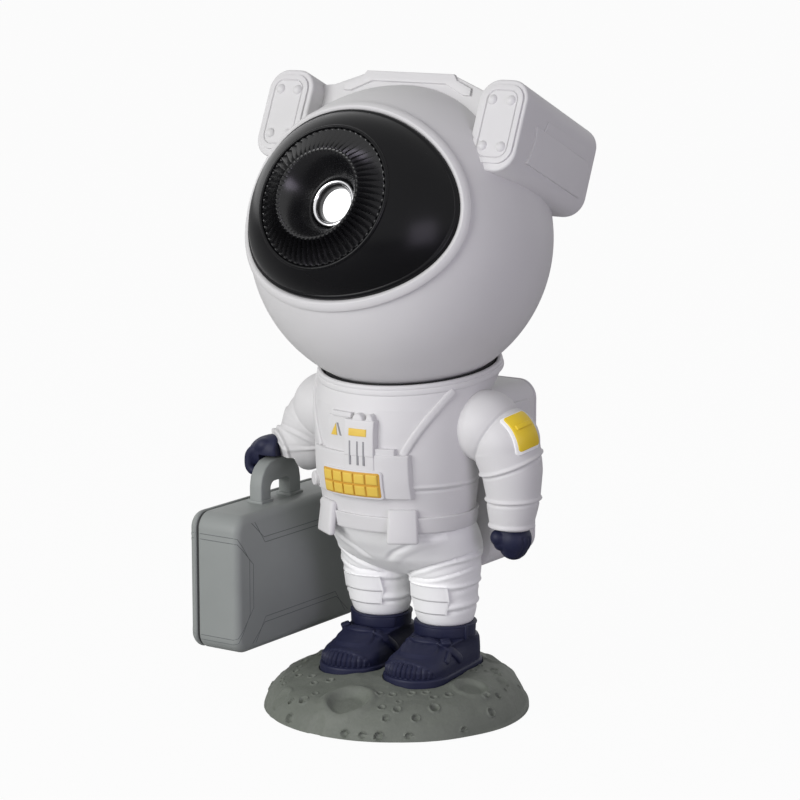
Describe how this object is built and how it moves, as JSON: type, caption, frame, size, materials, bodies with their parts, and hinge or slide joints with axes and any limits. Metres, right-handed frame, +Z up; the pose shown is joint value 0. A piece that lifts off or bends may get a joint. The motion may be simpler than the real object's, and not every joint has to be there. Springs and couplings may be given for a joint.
{
  "type": "planetarium projector",
  "caption": "Desk-top star and nebula projector shaped as a standing astronaut on a cratered base, with an aimable ball head, swinging arms and a carried case.",
  "frame": {"origin": "centre of the base pad's underside, on the table", "axes": "+Z up, the figure faces -Y, the figure's left side is +X"},
  "size_m": [0.1205, 0.1128, 0.2289],
  "materials": {
    "suit_shell": "fine matt",
    "trouser_shell": "fine matt",
    "visor_black": "polished",
    "hood_black": "satin",
    "lens_chrome": "polished",
    "lens_glass": "polished",
    "navy_plastic": "satin",
    "case_plastic": "fine matt",
    "seal_rubber": "matt",
    "moon_resin": "fine matt",
    "keypad_yellow": "satin",
    "patch_yellow": "satin",
    "pad_foam": "matt",
    "plain_steel": "brushed",
    "magnet_nickel": "plated",
    "ring_black": "matt",
    "board_green": "varnished",
    "frame_black": "matt",
    "disc_clear": "textured",
    "pinion_white": "plain",
    "laser_brass": "turned",
    "key_grey": "satin"
  },
  "bodies": {
    "figure": {"moon_base": "moon_resin", "base_plate": "frame_black", "ballast_plate": "plain_steel", "base_pad": "pad_foam", "base_screws": "plain_steel", "left_boot": "navy_plastic", "right_boot": "navy_plastic", "trousers": "trouser_shell", "knee_pads": "trouser_shell", "torso_front": "suit_shell", "torso_back": "suit_shell", "collar": "suit_shell", "neck_magnet": "magnet_nickel", "shoulder_pins": "plain_steel", "chest_panel": "suit_shell", "chest_keypad": "keypad_yellow", "chest_inlays": "keypad_yellow", "harness_straps": "suit_shell", "belt": "suit_shell", "belt_pouches": "suit_shell", "backpack_shell": "suit_shell", "backpack_cover": "suit_shell", "backpack_screws": "plain_steel"},
    "seat": {"seat_washer": "plain_steel"},
    "swivel": {"swivel_ring": "ring_black"},
    "head": {"helmet_shell": "suit_shell", "helmet_rear_cover": "suit_shell", "helmet_screws": "plain_steel", "head_steel_cap": "plain_steel", "pod_left": "suit_shell", "pod_right": "suit_shell", "pod_faces": "suit_shell", "pod_rivets": "suit_shell", "yoke": "suit_shell", "visor": "visor_black", "lens_hood": "hood_black", "lens_ring": "lens_chrome", "projection_lens": "lens_glass", "optics_frame": "frame_black", "led_board": "board_green", "laser_module": "laser_brass", "disc_motor": "magnet_nickel", "main_board": "board_green", "usb_socket": "plain_steel"},
    "power_key": {"power_button": "key_grey"},
    "stars_key": {"stars_button": "key_grey"},
    "nebula_key": {"nebula_button": "key_grey"},
    "disc": {"nebula_disc": "disc_clear"},
    "pinion": {"motor_pinion": "pinion_white"},
    "left_arm": {"left_arm": "suit_shell", "left_glove": "navy_plastic", "left_arm_patch": "patch_yellow"},
    "right_arm": {"right_arm": "suit_shell", "right_glove": "navy_plastic", "grip_pin": "plain_steel"},
    "case": {"case_body": "case_plastic", "case_lid": "case_plastic", "case_seal": "seal_rubber", "case_handle": "case_plastic"}
  },
  "joints": [
    {"name": "head_lift", "type": "slide", "parent": "figure", "child": "seat", "axis": [0, -0.1219, 0.9925], "range_m": [0, 0.06]},
    {"name": "head_turn", "type": "hinge", "parent": "seat", "child": "swivel", "pos_m": [0, 0.004, 0.1705], "axis": [0, -0.1219, 0.9925], "continuous": true},
    {"name": "head_tilt", "type": "hinge", "parent": "swivel", "child": "head", "pos_m": [0, 0.004, 0.1705], "axis": [-1, 0, 0], "range_deg": [-30, 20]},
    {"name": "power_press", "type": "slide", "parent": "head", "child": "power_key", "axis": [0, -0.9171, 0.3987], "range_m": [0, 0.0012], "stiffness_N_per_m": 250, "springref_m": -0.0015},
    {"name": "stars_press", "type": "slide", "parent": "head", "child": "stars_key", "axis": [0, -0.9171, 0.3987], "range_m": [0, 0.0012], "stiffness_N_per_m": 250, "springref_m": -0.0015},
    {"name": "nebula_press", "type": "slide", "parent": "head", "child": "nebula_key", "axis": [0, -0.9171, 0.3987], "range_m": [0, 0.0012], "stiffness_N_per_m": 250, "springref_m": -0.0015},
    {"name": "disc_spin", "type": "hinge", "parent": "head", "child": "disc", "pos_m": [0, -0.02216, 0.1906], "axis": [0, -0.9171, 0.3987], "continuous": true},
    {"name": "pinion_spin", "type": "hinge", "parent": "head", "child": "pinion", "pos_m": [0, -0.0151, 0.20683], "axis": [0, -0.9171, 0.3987], "continuous": true},
    {"name": "left_arm_swing", "type": "hinge", "parent": "figure", "child": "left_arm", "pos_m": [0.0342, 0.0068, 0.106], "axis": [-1, 0, 0], "range_deg": [-25, 95]},
    {"name": "right_arm_swing", "type": "hinge", "parent": "figure", "child": "right_arm", "pos_m": [-0.0342, 0.0068, 0.106], "axis": [-1, 0, 0], "range_deg": [-15, 60]},
    {"name": "case_swing", "type": "hinge", "parent": "right_arm", "child": "case", "pos_m": [-0.0523, -0.0003, 0.0824], "axis": [-1, 0, 0], "range_deg": [-8, 8]}
  ],
  "couplings": [
    {"joint": "pinion_spin", "follows": "disc_spin", "ratio": -2.6667}
  ]
}
